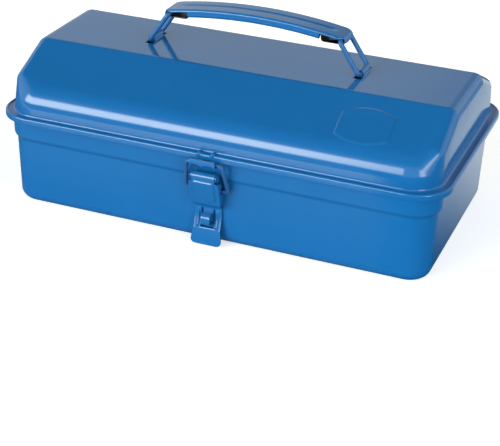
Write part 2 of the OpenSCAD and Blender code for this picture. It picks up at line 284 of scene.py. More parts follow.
def fillet(
    points: Sequence[Vector], radii: Sequence[float], steps: int = 8, closed: bool = False,
) -> list[Vector]:
    """Rounds the corners of a line.

    Args:
        points: the line's corners, in 3D.
        radii: one radius for each inner corner, or for every corner of a closed line.
        steps: how many pieces each round has.
        closed: True if the last point joins the first.

    Returns:
        The rounded line.
    """
    count = len(points)
    line: list[Vector] = [] if closed else [points[0].copy()]
    for i in range(count) if closed else range(1, count - 1):
        before, at, after = points[i - 1], points[i], points[(i + 1) % count]
        radius = radii[i if closed else i - 1]
        a, b = (before - at).normalized(), (after - at).normalized()
        angle = a.angle(b)
        if radius <= 0 or angle > math.pi - 1e-4:
            line.append(at.copy())
            continue
        centre = at + (a + b).normalized() * radius / math.sin(angle / 2)
        first = at + a * radius / math.tan(angle / 2) - centre
        axis = a.cross(b).normalized()
        for k in range(steps + 1):
            turn = Matrix.Rotation(-(math.pi - angle) * k / steps, 3, axis)
            line.append(centre + turn @ first)
    if not closed:
        line.append(points[-1].copy())
    return line


def flat(*pairs: tuple[float, float]) -> list[Vector]:
    """Points of a drawing in a plane, as vectors with no third part."""
    return [Vector((a, b, 0.0)) for a, b in pairs]


def arc(centre: tuple[float, float], radius: float, start: float, end: float, steps: int) -> list[Vector]:
    """Points of an arc in a drawing plane, between two angles in degrees."""
    turns = [math.radians(start + (end - start) * k / steps) for k in range(steps + 1)]
    return [Vector((centre[0] + radius * math.cos(t), centre[1] + radius * math.sin(t), 0.0)) for t in turns]


def beside(line: Sequence[Vector], shift: float) -> list[Vector]:
    """Moves a flat line sideways, to its left as it runs.

    Args:
        line: the flat line.
        shift: the distance, negative for its right.

    Returns:
        The moved line, with as many points.
    """
    moved = []
    last = len(line) - 1
    for i, point in enumerate(line):
        a = (line[max(i, 1)] - line[max(i, 1) - 1]).normalized()
        b = (line[min(i, last - 1) + 1] - line[min(i, last - 1)]).normalized()
        left_a, left_b = Vector((-a.y, a.x, 0.0)), Vector((-b.y, b.x, 0.0))
        middle = (left_a + left_b).normalized()
        moved.append(point + middle * shift / max(0.2, middle.dot(left_a)))
    return moved


def sheet_outline(line: Sequence[Vector], gauge: float) -> list[Vector]:
    """The closed outline of sheet metal along a flat line, with its thickness on the left."""
    return list(line) + list(reversed(beside(line, gauge)))


def rounded_ring(half_x: float, half_y: float, radius: float, z: float, steps: int) -> Ring:
    """A level ring with four round corners, anticlockwise from above.

    Args:
        half_x: half its size along X.
        half_y: half its size along Y.
        radius: the radius of its corners.
        z: its height.
        steps: pieces in each corner.

    Returns:
        4 * (steps + 1) points.
    """
    radius = max(radius, 0.01)
    ring = []
    for quarter, (sx, sy) in enumerate(QUARTERS):
        x, y = sx * (half_x - radius), sy * (half_y - radius)
        for k in range(steps + 1):
            turn = math.radians(90.0 * (quarter + k / steps))
            ring.append(Vector((x + radius * math.cos(turn), y + radius * math.sin(turn), z)))
    return ring


def dense(line: Sequence[Vector], step: float) -> list[Vector]:
    """The same line with extra points, no further apart than a step.

    Args:
        line: the line to follow.
        step: the furthest apart that its points may be.

    Returns:
        The finer line.
    """
    fine = [line[0].copy()]
    for a, b in zip(line, line[1:]):
        pieces = max(1, math.ceil((b - a).length / step))
        fine += [a.lerp(b, k / pieces) for k in range(1, pieces + 1)]
    return fine


def smooth(value: float, start: float, end: float) -> float:
    """A smooth step of a value, from 0 at the start to 1 at the end."""
    part = max(0.0, min(1.0, (value - start) / (end - start)))
    return part * part * (3.0 - 2.0 * part)


# -------------------------------------------------------------- mesh building


def linked(name: str, data: bpy.types.ID) -> Item:
    """A new object with some data, linked to the scene.

    Args:
        name: the object's name.
        data: its mesh, curve, camera or light.

    Returns:
        The object.
    """
    made = bpy.data.objects.new(name, data)
    bpy.context.scene.collection.objects.link(made)
    return made


def plain_object(name: str, work: Work) -> Item:
    """Makes an object from a bmesh as it is, and frees the bmesh.

    Args:
        name: the object's name.
        work: the mesh, which is used up.

    Returns:
        The object.
    """
    mesh = bpy.data.meshes.new(name)
    work.to_mesh(mesh)
    work.free()
    return linked(name, mesh)


def new_object(name: str, work: Work) -> Item:
    """Cleans a bmesh in millimetres and makes it an object in metres.

    Args:
        name: the object's name.
        work: the mesh, in millimetres, which is used up.

    Returns:
        The object, in metres.
    """
    bmesh.ops.remove_doubles(work, verts=work.verts, dist=1e-4)
    bmesh.ops.dissolve_degenerate(work, edges=work.edges, dist=1e-5)
    bmesh.ops.recalc_face_normals(work, faces=work.faces)
    bmesh.ops.scale(work, vec=(MM, MM, MM), verts=work.verts)
    return plain_object(name, work)


def evaluated_mesh(made: Item) -> bpy.types.Mesh:
    """A plain mesh of an object with its modifiers applied.

    Args:
        made: the object.

    Returns:
        The new mesh.
    """
    depsgraph = bpy.context.evaluated_depsgraph_get()
    depsgraph.update()
    return bpy.data.meshes.new_from_object(made.evaluated_get(depsgraph), depsgraph=depsgraph)


def bake(made: Item) -> Item:
    """Applies an object's modifiers and removes them.

    Args:
        made: the object.

    Returns:
        The same object.
    """
    mesh = evaluated_mesh(made)
    made.modifiers.clear()
    made.data = mesh
    mesh.name = made.name
    return made


def shaded(made: Item, crease: float) -> Item:
    """Shades a mesh smooth, with edges sharper than a crease angle kept crisp.

    Args:
        made: the object.
        crease: the angle in degrees.

    Returns:
        The same object, as a plain mesh.
    """
    mesh = made.data
    mesh.polygons.foreach_set("use_smooth", [True] * len(mesh.polygons))
    work = bmesh.new()
    work.from_mesh(mesh)
    for edge in work.edges:
        if len(edge.link_faces) == 2:
            edge.smooth = edge.calc_face_angle(0.0) < math.radians(crease)
    work.to_mesh(mesh)
    work.free()
    weigh = made.modifiers.new("weigh", "WEIGHTED_NORMAL")
    weigh.keep_sharp = True
    weigh.weight = 60
    return bake(made)


def skin(work: Work, rings: Sequence[Ring]) -> list[list[bmesh.types.BMVert]]:
    """Joins a row of closed rings with quads.

    Args:
        work: the mesh to add to.
        rings: rings of one length each.

    Returns:
        The rings' vertices.
    """
    rows = [[work.verts.new(p) for p in ring] for ring in rings]
    count = len(rows[0])
    for low, high in zip(rows, rows[1:]):
        for i in range(count):
            j = (i + 1) % count
            work.faces.new((low[i], low[j], high[j], high[i]))
    return rows


def loft(name: str, rings: Sequence[Ring], crease: float | None = None) -> Item:
    """An object over a row of closed rings, closed at both ends.

    Args:
        name: its name.
        rings: rings of one length each, in millimetres.
        crease: edges sharper than this many degrees stay crisp, or None to leave its faces flat.

    Returns:
        The object.
    """
    work = bmesh.new()
    rows = skin(work, rings)
    work.faces.new(list(reversed(rows[0])))
    work.faces.new(rows[-1])
    made = new_object(name, work)
    return made if crease is None else shaded(made, crease)


def extrusion(
    name: str, outline: Sequence[Vector], ends: Sequence[float], crease: float | None = None,
) -> Item:
    """An object with one closed [Y, Z] outline all along X, between two places."""
    return loft(name, [[Vector((x, p.x, p.y)) for p in outline] for x in ends], crease)


def pressed_plate(
    work: Work, outer: Sequence[Sequence[Vector]], inner: Sequence[Sequence[Vector]],
    open_at: Callable[[int, int], bool],
) -> None:
    """Makes a closed plate between two grids of points, with holes.

    Args:
        work: the mesh to add to.
        outer: rows of points on the outer face.
        inner: the same rows on the inner face.
        open_at: says of a cell, by its row and column, whether it is a hole.
    """
    rows, columns = len(outer), len(outer[0])
    top = [[work.verts.new(p) for p in row] for row in outer]
    low = [[work.verts.new(p) for p in row] for row in inner]

    def solid(i: int, j: int) -> bool:
        """Whether a cell is inside the grid and not a hole."""
        return 0 <= i < rows - 1 and 0 <= j < columns - 1 and not open_at(i, j)

    for i in range(rows - 1):
        for j in range(columns - 1):
            if not solid(i, j):
                continue
            corners = ((i, j), (i + 1, j), (i + 1, j + 1), (i, j + 1))
            work.faces.new([top[a][b] for a, b in corners])
            work.faces.new([low[a][b] for a, b in reversed(corners)])
            beside_it = ((i, j - 1), (i + 1, j), (i, j + 1), (i - 1, j))
            for k, neighbour in enumerate(beside_it):
                if solid(*neighbour):
                    continue
                (a, b), (c, d) = corners[k], corners[(k + 1) % 4]
                work.faces.new((top[c][d], top[a][b], low[a][b], low[c][d]))
    for vert in [v for v in work.verts if not v.link_faces]:
        work.verts.remove(vert)


def cut(made: Item, low: Sequence[float], high: Sequence[float]) -> None:
    """Cuts a box out of an object.

    Args:
        made: the object.
        low: the box's lowest corner, in millimetres.
        high: the box's highest corner.
    """
    work = bmesh.new()
    bmesh.ops.create_cube(work, size=1.0)
    bmesh.ops.scale(work, vec=[b - a for a, b in zip(low, high)], verts=work.verts)
    bmesh.ops.translate(work, vec=[(a + b) / 2 for a, b in zip(low, high)], verts=work.verts)
    tool = new_object("cutter", work)
    boolean = made.modifiers.new("cut", "BOOLEAN")
    boolean.operation = "DIFFERENCE"
    boolean.solver = "EXACT"
    boolean.object = tool
    bake(made)
    bpy.data.objects.remove(tool)


def merge(name: str, parts: Sequence[Item]) -> Item:
    """Puts several plain meshes into one object, and removes theirs.

    Args:
        name: the name of the result.
        parts: the objects, which are removed.

    Returns:
        The joined object.
    """
    work = bmesh.new()
    for part in parts:
        work.from_mesh(part.data)
        bpy.data.objects.remove(part)
    return plain_object(name, work)


def frame_copy(node: str, name: str) -> Item:
    """A clean copy of a CAD node: merged, with its flat faces joined again.

    Args:
        node: the node's name.
        name: the name of the copy.

    Returns:
        The copy, as an object of its own.
    """
    work = bmesh.new()
    work.from_mesh(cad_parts[node].data)
    bmesh.ops.remove_doubles(work, verts=work.verts, dist=2e-6)
    bmesh.ops.dissolve_limit(
        work, angle_limit=math.radians(0.6), verts=work.verts, edges=work.edges, delimit={"NORMAL"}
    )
    return plain_object(name, work)


def dress(
    made: Item, finish: Coat, body: Body, node: str, crease: float | None = None, bevel: float = 0.0,
) -> None:
    """Finishes a piece: edges, shading, material, and the body and node it belongs to.

    Args:
        made: the piece.
        finish: its finish.
        body: the body it rides on.
        node: the CAD node that it stands for.
        crease: edges sharper than this many degrees stay crisp, or None to leave the shading.
        bevel: how far its sharp edges are rounded, in millimetres.
    """
    if bevel > 0:
        edge = made.modifiers.new("edge", "BEVEL")
        edge.width = bevel * MM
        edge.segments = 2
        edge.limit_method = "ANGLE"
        edge.angle_limit = math.radians(35)
        bake(made)
    if crease is not None:
        shaded(made, crease)
    made.data.materials.clear()
    made.data.materials.append(finish.material())
    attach(made, body.value)
    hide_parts(node)
    LOG.info("%s: %d faces on %s", made.name, len(made.data.polygons), body.value)


# ------------------------------------------------------------- geometry nodes


@dataclass
class Grower:
    """A Geometry Nodes tree with named inputs, used once or more and baked each time.

    Attributes:
        name: the tree's name.
        sizes: its number inputs, with their usual values.
        fill: the function that adds the nodes between input and output.
    """

    name: str
    sizes: dict[str, float]
    fill: Callable[[NodeSheet, Node], Socket]

    def tree(self) -> bpy.types.NodeTree:
        """Builds the tree once, and hands out the same one after that.

        Returns:
            The tree.
        """
        found = bpy.data.node_groups.get(self.name)
        if found:
            return found
        tree = bpy.data.node_groups.new(self.name, "GeometryNodeTree")
        face = tree.interface
        face.new_socket("Geometry", in_out="INPUT", socket_type="NodeSocketGeometry")
        for title, value in self.sizes.items():
            kind = "NodeSocketInt" if isinstance(value, int) else "NodeSocketFloat"
            face.new_socket(title, in_out="INPUT", socket_type=kind).default_value = value
        face.new_socket("Finish", in_out="INPUT", socket_type="NodeSocketMaterial")
        face.new_socket("Geometry", in_out="OUTPUT", socket_type="NodeSocketGeometry")
        sheet = NodeSheet(tree)
        given = sheet.add("NodeGroupInput")
        whole = sheet.add("GeometryNodeRealizeInstances", in_Geometry=self.fill(sheet, given))
        paint = sheet.add("GeometryNodeSetMaterial", in_Geometry=whole.outputs["Geometry"],
                          in_Material=given.outputs["Finish"])
        sheet.add("NodeGroupOutput", in_0=paint.outputs["Geometry"])
        return tree

    def grow(self, seed: Item, finish: Coat, **sizes: float) -> Item:
        """Runs the tree on an object and makes the result a plain mesh.

        Args:
            seed: a mesh or curve object, which is used up.
            finish: the material to set.
            sizes: inputs that differ from the usual ones, as Wire_Radius=0.001.

        Returns:
            A mesh object of the seed's name.
        """
        tree = self.tree()
        modifier = seed.modifiers.new(self.name, "NODES")
        modifier.node_group = tree
        sockets = {s.name: s.identifier for s in tree.interface.items_tree if s.in_out == "INPUT"}
        for title, value in sizes.items():
            modifier[sockets[title.replace("_", " ")]] = value
        modifier[sockets["Finish"]] = finish.material()
        name = seed.name
        mesh = evaluated_mesh(seed)
        bpy.data.objects.remove(seed)
        mesh.name = name
        return linked(name, mesh)


def _wire_nodes(sheet: NodeSheet, given: Node) -> Socket:
    """A round wire along a path.

    Args:
        sheet: the tree.
        given: its input node.

    Returns:
        The socket with the wire's mesh.
    """
    section = sheet.add("GeometryNodeCurvePrimitiveCircle", mode="RADIUS",
                        in_Resolution=given.outputs["Sides"], in_Radius=given.outputs["Wire Radius"])
    sweep = sheet.add("GeometryNodeCurveToMesh", in_Curve=given.outputs["Geometry"],
                      in_Profile_Curve=section.outputs["Curve"], in_Fill_Caps=True)
    return sheet.add("GeometryNodeSetShadeSmooth", in_Geometry=sweep.outputs["Mesh"]).outputs["Geometry"]


def _rivet_nodes(sheet: NodeSheet, given: Node) -> Socket:
    """A low domed head on each point, flattened along Y.

    Args:
        sheet: the tree.
        given: its input node.

    Returns:
        The socket with the heads.
    """
    ball = sheet.add("GeometryNodeMeshUVSphere", in_Segments=40, in_Rings=20,
                     in_Radius=given.outputs["Head Radius"])
    size = sheet.add("ShaderNodeCombineXYZ", in_X=1.0, in_Y=given.outputs["Head Crown"], in_Z=1.0)
    squash = sheet.add("GeometryNodeTransform", in_Geometry=ball.outputs["Mesh"],
                       in_Scale=size.outputs["Vector"])
    head = sheet.add("GeometryNodeSetShadeSmooth", in_Geometry=squash.outputs["Geometry"])
    return sheet.add("GeometryNodeInstanceOnPoints", in_Points=given.outputs["Geometry"],
                     in_Instance=head.outputs["Geometry"]).outputs["Instances"]


def _row_nodes(sheet: NodeSheet, given: Node) -> Socket:
    """A row of copies along X, about the middle.

    Args:
        sheet: the tree.
        given: its input node.

    Returns:
        The socket with the copies.
    """
    count, pitch = given.outputs["Count"], given.outputs["Pitch"]
    span = sheet.product(sheet.math("SUBTRACT", count, 1.0), pitch)
    start = sheet.add("ShaderNodeCombineXYZ", in_X=sheet.math("MULTIPLY", span, -0.5))
    offset = sheet.add("ShaderNodeCombineXYZ", in_X=pitch)
    line = sheet.add("GeometryNodeMeshLine", mode="OFFSET", in_Count=count,
                     in_Start_Location=start.outputs["Vector"], in_Offset=offset.outputs["Vector"])
    return sheet.add("GeometryNodeInstanceOnPoints", in_Points=line.outputs["Mesh"],
                     in_Instance=given.outputs["Geometry"]).outputs["Instances"]


WIRE = Grower("bent_wire", {"Wire Radius": 0.002, "Sides": 24}, _wire_nodes)
RIVETS = Grower("rivet_heads", {"Head Radius": 0.003, "Head Crown": 0.32}, _rivet_nodes)
ROW = Grower("even_row", {"Count": 3, "Pitch": 0.107}, _row_nodes)


def bent_wire(name: str, points: Sequence[Vector], closed: bool, radius: float) -> Item:
    """A round wire along points in millimetres.

    Args:
        name: the name of the result.
        points: the wire's middle line.
        closed: True if its ends join.
        radius: the wire's radius.

    Returns:
        The wire, as a plain mesh.
    """
    curve = bpy.data.curves.new(name, "CURVE")
    curve.dimensions = "3D"
    spline = curve.splines.new("POLY")
    spline.points.add(len(points) - 1)
    for slot, point in zip(spline.points, points):
        slot.co = (*(point * MM), 1.0)
    spline.use_cyclic_u = closed
    return WIRE.grow(linked(name, curve), PAINTED_SHADE_ENAMEL, Wire_Radius=radius * MM, Sides=28)


# -------------------------------------------------------------- sub-assemblies


@dataclass
class Rim:
    """The rolled rim that the pan and the lid share, and the rod hinge at its rear."""

    half_x: float = 180.0
    half_y: float = 99.0
    corner: float = 28.0
    gauge: float = 1.0
    hinge_y: float = 96.5
    hinge_z: float = 75.5
    knuckle_pitch: float = 107.0
    knuckle_length: float = 58.0
    steps: int = 20

    def ring(self, ahead: float, z: float) -> Ring:
        """A ring at a distance outside the rim's outer line, at a height."""
        return rounded_ring(self.half_x + ahead, self.half_y + ahead, self.corner + ahead, z, self.steps)


@dataclass
class Pan:
    """The drawn pan: floor, drafted wall, pressed shoulder, collar and rolled bead.

    The wall's places are distances outside the rim's outer line, and heights.
    """

    rim: Rim
    wall: tuple[Span, ...] = ((-26.0, 0.0), (-10.7, 0.0), (-8.6, 54.5), (-6.3, 57.3), (-5.8, 72.77))
    wall_rounds: tuple[float, ...] = (9.0, 4.4, 3.6)
    bead: Span = (-4.4, 73.9)
    bead_radius: float = 1.8
    bead_turn: Span = (-141.0, 150.0)
    notch: Span = (70.0, 80.0)
    notch_reach: float = 4.0
    gap: float = 0.01
    knuckle_leaf: Span = (66.5, 71.5)
    knuckle_radius: float = 2.45
    knuckle_turn: Span = (232.0, 520.0)
    crease: float = 40.0

    @property
    def rear(self) -> float:
        """Y of the rear collar's outer face."""
        return self.rim.half_y + self.wall[-1][0]

    def section(self) -> list[Vector]:
        """The wall's closed outline, as distance outside the rim and height.

        Returns:
            The outline's points.
        """
        line = fillet(flat(*self.wall), self.wall_rounds, 10)
        curl = arc(self.bead, self.bead_radius, *self.bead_turn, 22)[1:]
        return line + curl + list(reversed(beside(line, self.rim.gauge)))

    def knuckles(self) -> Item:
        """The three curls of the rear edge round the hinge rod.

        Returns:
            The three curls, as one object.
        """
        rim, half = self.rim, self.rim.knuckle_length / 2
        line = flat(*((self.rear, z) for z in self.knuckle_leaf))
        line += arc((rim.hinge_y, rim.hinge_z), self.knuckle_radius, *self.knuckle_turn, 26)
        curl = extrusion("pan_knuckles", sheet_outline(line, rim.gauge), (-half, half), self.crease)
        return ROW.grow(curl, PRESSED_ENAMEL, Count=3, Pitch=rim.knuckle_pitch * MM)

    def build(self) -> Item:
        """Builds the pan with its three hinge knuckles.

        Returns:
            The pan.
        """
        rim, half = self.rim, self.rim.knuckle_length / 2
        shell = loft("pan_shell", [rim.ring(p.x, p.y) for p in self.section()])
        for side in Side:
            left, right = side.span(half + self.gap, rim.knuckle_pitch - half - self.gap)
            cut(shell, (left, self.rear + self.gap, self.notch[0]),
                (right, rim.half_y + self.notch_reach, self.notch[1]))
        return merge("pan_pressing", [shaded(shell, self.crease), self.knuckles()])

    def dress(self) -> None:
        """Paints the pan and sets it on its body."""
        dress(self.build(), PRESSED_ENAMEL, Body.BOX, "pan")


@dataclass(frozen=True)
class Ball:
    """A round that the lid's skin is drawn over, at one corner of the box.

    Attributes:
        x: its place along the box.
        y: its place across it.
        z: its height.
        radius: its radius.
        sweep: the radius of the path, seen from above, that it is swept along at the corner.
    """

    x: float
    y: float
    z: float
    radius: float
    sweep: float = 0.0

    def support(self, turn: float, tilt: float) -> float:
        """How far it reaches, turned one way seen from above and tilted up, in radians."""
        reach = math.cos(turn) * (self.x - self.sweep) + math.sin(turn) * (self.y - self.sweep) + self.sweep
        return math.cos(tilt) * reach + math.sin(tilt) * self.z + self.radius

    def handover(self, turn: float, high: "Ball") -> float:
        """The tilt at which the skin leaves this round for a higher one, facing one way.

        Args:
            turn: the way it faces, seen from above, in radians.
            high: the higher round.

        Returns:
            The tilt, in radians.
        """
        low_end, high_end = 0.0, math.pi / 2
        for _ in range(44):
            tilt = (low_end + high_end) / 2
            if self.support(turn, tilt) > high.support(turn, tilt):
                low_end = tilt
            else:
                high_end = tilt
        return (low_end + high_end) / 2

    def point(self, turn: float, tilt: float, inset: float) -> Vector:
        """A point of its skin, some distance inside.

        Args:
            turn: the way it faces, seen from above, in radians.
            tilt: how far it is tilted up.
            inset: how far inside the skin.

        Returns:
            The point.
        """
        reach = self.radius - inset
        out = reach * math.cos(tilt) + self.sweep
        return Vector((self.x - self.sweep + out * math.cos(turn), self.y - self.sweep + out * math.sin(turn),
                       self.z + reach * math.sin(tilt)))


@dataclass
class Lid:
    """The hump lid: rolled rim, cove, wall, long bend, slopes and flat top.

    A slot is its two ends along X, from the middle of a bridge, and its length across. A lip cut
    is an inset from the rim's ends, a distance past its side, and two heights. A curl cut is a
    distance past the lid's wall, and two heights. The panel's width and height are its size at
    its foot, as a share of the outline's, and how much less it is on top.
    """

    rim: Rim
    body_x: float = 172.7
    body_y: float = 93.9
    bend: float = 20.4
    bend_steps: int = 16
    top: float = 121.9
    half_top: float = 38.6
    slope: float = math.radians(24.9)
    end_inset: float = 8.7
    end_y: float = 70.85
    end_radius: float = 8.2
    brow: float = 8.5
    brow_inset: float = 0.5
    sweep: float = 4.5
    thick: float = 1.1
    sheet_crease: float = 30.0
    part_crease: float = 40.0
    flange: float = 77.4
    lip_foot: float = 72.2
    cove: float = 2.05
    groove: float = 0.85
    bridge_x: float = 87.2
    bridge_z: float = 123.4
    bridge_half: float = 7.8
    bridge_radius: float = 3.2
    bridge_bore: float = 2.0
    bridge_foot: float = 5.4
    slot: tuple[float, float, float] = (-3.7, 2.5, 6.3)
    slot_heights: Span = (114.0, 128.0)
    lip_cuts: tuple[tuple[float, ...], ...] = ((12.0, -7.0, 60.0, 76.25), (28.0, -1.5, 70.0, 80.0))
    lip_cut_reach: float = 13.0
    curl_cuts: tuple[tuple[float, ...], ...] = ((0.05, 70.0, 80.0), (-3.0, 60.0, 76.95))
    curl_cut_reach: float = 20.0
    curl_room: float = 0.4
    tongue_room: float = 0.8
    tongue_gauge: float = 0.95
    tongue_turn: Span = (84.0, -150.0)
    tongue_radius: float = 2.4
    panel_x: float = 111.0
    panel_down: float = 31.8
    panel_bulge: float = 38.5
    panel_offset: float = 21.3
    panel_corner: float = 2.5
    panel_rise: float = 0.85
    panel_sunk: float = 0.04
    panel_width: Span = (1.04, 0.105)
    panel_height: Span = (1.09, 0.145)
    panel_crease: float = 60.0
    rib_radius: float = 2.05
    rib_rise: float = 1.75
    rib_place: Span = (3.2, 4.6)
    rib_root: float = 1.2
    rib_middle: float = 2.2
    rib_flank: Span = (140.0, 164.0)
    rib_crease: float = 50.0

    def under_slope(self, y: float, radius: float) -> float:
        """Height of the middle of a round that touches the slope from below."""
        return self.top - (y - self.half_top) * math.tan(self.slope) - radius / math.cos(self.slope)

    def balls(self) -> tuple[Ball, Ball, Ball]:
        """The long bend's end, the slope's end and the top's corner.

        Returns:
            The three rounds, from the lowest up.
        """
        bend_y = self.body_y - self.bend
        return (
            Ball(self.body_x - self.bend, bend_y, self.under_slope(bend_y, self.bend), self.bend, self.sweep),
            Ball(self.body_x - self.end_inset, self.end_y, self.under_slope(self.end_y, self.end_radius),
                 self.end_radius),
            Ball(self.body_x - self.brow - self.brow_inset,
                 self.half_top - self.brow * math.tan(self.slope / 2), self.top - self.brow, self.brow),
        )

    def meridian(self, turn: float, inset: float) -> list[Vector]:
        """The skin's line from the wall to the top, where it faces one way seen from above.

        Args:
            turn: the way it faces, in radians within the first quarter.
            inset: how far it lies inside the outer skin.

        Returns:
            Points from the foot of the long bend to the corner of the flat top.
        """
        foot, middle, head = self.balls()
        first = second = foot.handover(turn, head)
        if middle.support(turn, first) > foot.support(turn, first) + 1e-6:
            first, second = foot.handover(turn, middle), middle.handover(turn, head)
        points = []
        for ball, start, end, steps in (
            (foot, 0.0, first, self.bend_steps), (middle, first, second, 6), (head, second, math.pi / 2, 12),
        ):
            if ball is middle and end - start < 1e-6:
                ball, start, end = head, second, second
            points += [ball.point(turn, start + (end - start) * k / steps, inset) for k in range(steps + 1)]
        return points

    def hump(self, inset: float) -> list[Ring]:
        """Rings of the skin from the foot of the long bend to the flat top.

        Args:
            inset: how far it lies inside the outer skin.

        Returns:
            The rings, from the lowest up.
        """
        steps = self.rim.steps
        columns = []
        for quarter, (sx, sy) in enumerate(QUARTERS):
            for k in range(steps + 1):
                turn = math.radians(90.0 * (1 - k / steps if quarter % 2 else k / steps))
                columns.append([Vector((sx * p.x, sy * p.y, p.z)) for p in self.meridian(turn, inset)])
        return [list(ring) for ring in zip(*columns)]

    def wall_ring(self, ahead: float, z: float) -> Ring:
        """A ring at a distance outside the lid's wall, at a height.

        Args:
            ahead: the distance outside the wall.
            z: the height.

        Returns:
            The ring.
        """
        return rounded_ring(
            self.body_x + ahead, self.body_y + ahead, self.bend + self.sweep + ahead, z, self.rim.steps
        )

    def shell(self) -> Item:
        """The lid's sheet before its openings are cut, both faces from the lip to the top.

        Returns:
            The closed sheet.
        """
        thick, lip, flange, groove = self.thick, self.lip_foot, self.flange, self.flange - self.groove
        edge = fillet(flat((-thick / 2, lip), (0, lip), (0, flange), (-1.85, flange), (-2.45, groove),
                           (-8, groove)), [0.5, 1.64, 0.35, 0.25], 8)[:-1]
        rise = arc((self.cove, groove + self.cove), self.cove, 268, 180, 10)
        under = flange - thick
        lining = fillet(flat((-thick / 2, lip), (-thick, lip), (-thick, under), (-8, under)),
                        [0.5, 1.1], 8)[1:-1]
        turn = arc((1.6, flange + 1.6), 2.6, 270, 180, 8)
        outer, inner = (
            [self.rim.ring(p.x, p.y) for p in low] + [self.wall_ring(p.x, p.y) for p in high]
            + self.hump(inset)
            for low, high, inset in ((edge, rise, 0.0), (lining, turn, 1.0))
        )
        return loft("lid_sheet", inner[::-1] + outer)

    def pressing(self) -> Item:
        """The lid's sheet with its openings: beside the wires' feet, and round the hinge.

        Returns:
            The sheet.
        """
        rim, made = self.rim, self.shell()
        back, ahead, length = self.slot
        for side in Side:
            for near in (-self.bridge_half - length, self.bridge_half):
                left, right = side.span(self.bridge_x + back, self.bridge_x + ahead)
                cut(made, (left, near, self.slot_heights[0]), (right, near + length, self.slot_heights[1]))
        for inset, near, low, high in self.lip_cuts:
            cut(made, (inset - rim.half_x, rim.half_y + near, low),
                (rim.half_x - inset, rim.half_y + self.lip_cut_reach, high))
        for i in (-1, 0, 1):
            start = i * rim.knuckle_pitch - rim.knuckle_length / 2 - self.curl_room
            end = start + rim.knuckle_length + 2 * self.curl_room
            for near, low, high in self.curl_cuts:
                cut(made, (start, self.body_y + near, low), (end, self.body_y + self.curl_cut_reach, high))
        return shaded(made, self.sheet_crease)

    def bridge(self, side: Side) -> Item:
        """A pressed half-round tunnel that a handle wire turns in.

        Args:
            side: the end of the box it stands at.

        Returns:
            The tunnel.
        """
        skin, outer, bore, foot = self.top, self.bridge_radius, self.bridge_bore, self.bridge_foot
        near = fillet(flat((-foot, skin + 0.02), (-outer, skin), (-outer, skin + 1.5)), [1.2], 6)
        far = fillet(flat((outer, skin + 1.5), (outer, skin), (foot, skin + 0.02)), [1.2], 6)
        outline = near + arc((0, self.bridge_z), outer, 180, 0, 20) + far
        outline += flat((foot, skin - 0.5), (bore, skin - 0.8)) + arc((0, self.bridge_z), bore, 0, 180, 16)
        outline += flat((-bore, skin - 0.8), (-foot, skin - 0.5))
        middle, half = side.value * self.bridge_x, self.bridge_half
        rings = [[Vector((middle + p.x, y, p.y)) for p in outline] for y in (-half, half)]
        return loft(f"bridge_{side.word}", rings, self.part_crease)

    def raised_panel(self) -> Item:
        """The plain pressed panel on the front slope, with a soft border.

        Returns:
            The panel.
        """
        offset, bulge = self.panel_offset, self.panel_bulge
        outline = arc((0, -offset), bulge, 122, 58, 24) + arc((0, offset), bulge, -58, -122, 24)
        corners = [self.panel_corner if i in (0, 24, 25, 49) else 0.0 for i in range(50)]
        outline = fillet(outline[::-1], corners, 5, closed=True)
        centre = Vector((self.panel_x, -self.half_top - self.panel_down * math.cos(self.slope),
                         self.top - self.panel_down * math.sin(self.slope)))
        lean = Matrix.Rotation(self.slope, 3, "X")
        rings = []
        for part in (k / 8 for k in range(9)):
            rise = self.panel_rise * smooth(part, 0.0, 1.0) - self.panel_sunk
            wide, tall = (foot - less * part for foot, less in (self.panel_width, self.panel_height))
            rings.append([centre + lean @ Vector((p.x * wide, p.y * tall, rise)) for p in outline])
        work = bmesh.new()
        work.faces.new(skin(work, rings)[-1])
        return shaded(new_object("slope_panel", work), self.panel_crease)

    def tongue(self, side: Side) -> Item:
        """One tongue of the rear flange, curled round the hinge rod.

        Args:
            side: the side it stands at.

        Returns:
            The tongue.
        """
        rim, half = self.rim, self.rim.knuckle_length / 2
        line = flat((self.body_y - 0.4, self.flange), (rim.hinge_y - 0.2, self.flange + 0.5))
        line += arc((rim.hinge_y, rim.hinge_z), self.tongue_radius, *self.tongue_turn, 24)
        ends = side.span(half + self.tongue_room, rim.knuckle_pitch - half - self.tongue_room)
        outline = sheet_outline(line, -self.tongue_gauge)
        return extrusion(f"tongue_{side.word}", outline, ends, self.part_crease)

    def rib(self, side: Side) -> Item:
        """A small rib over the rolled edge, beside the latch, lower on its front flank.

        Args:
            side: the side of the latch it stands at.

        Returns:
            The rib.
        """
        y, z = self.rib_middle - self.rim.half_y, self.flange - self.rib_middle
        turned = [62 + 140 * j / 16 for j in range(17)]
        root = [(self.rib_root, t) for t in reversed(turned)]
        rings = []
        for part in (k / 24 for k in range(25)):
            rise = self.rib_rise * math.sin(math.pi * part) ** 1.6 if 0 < part < 1 else 0.0
            x = side.value * (self.rib_place[0] + self.rib_place[1] * part)
            over = [(self.rib_radius + rise * (1.0 - 0.6 * smooth(t, *self.rib_flank)), t) for t in turned]
            rings.append([Vector((x, y + r * math.cos(math.radians(t)), z + r * math.sin(math.radians(t))))
                          for r, t in over + root])
        return loft(f"rib_{side.word}", rings, self.rib_crease)

    def dress(self) -> None:
        """Builds the lid's pieces, paints them and sets them on their body."""
        pieces = [self.pressing(), self.raised_panel()]
        for side in Side:
            pieces += [self.bridge(side), self.tongue(side), self.rib(side)]
        dress(merge("lid_pressing", pieces), PRESSED_ENAMEL, Body.LID, "lid")


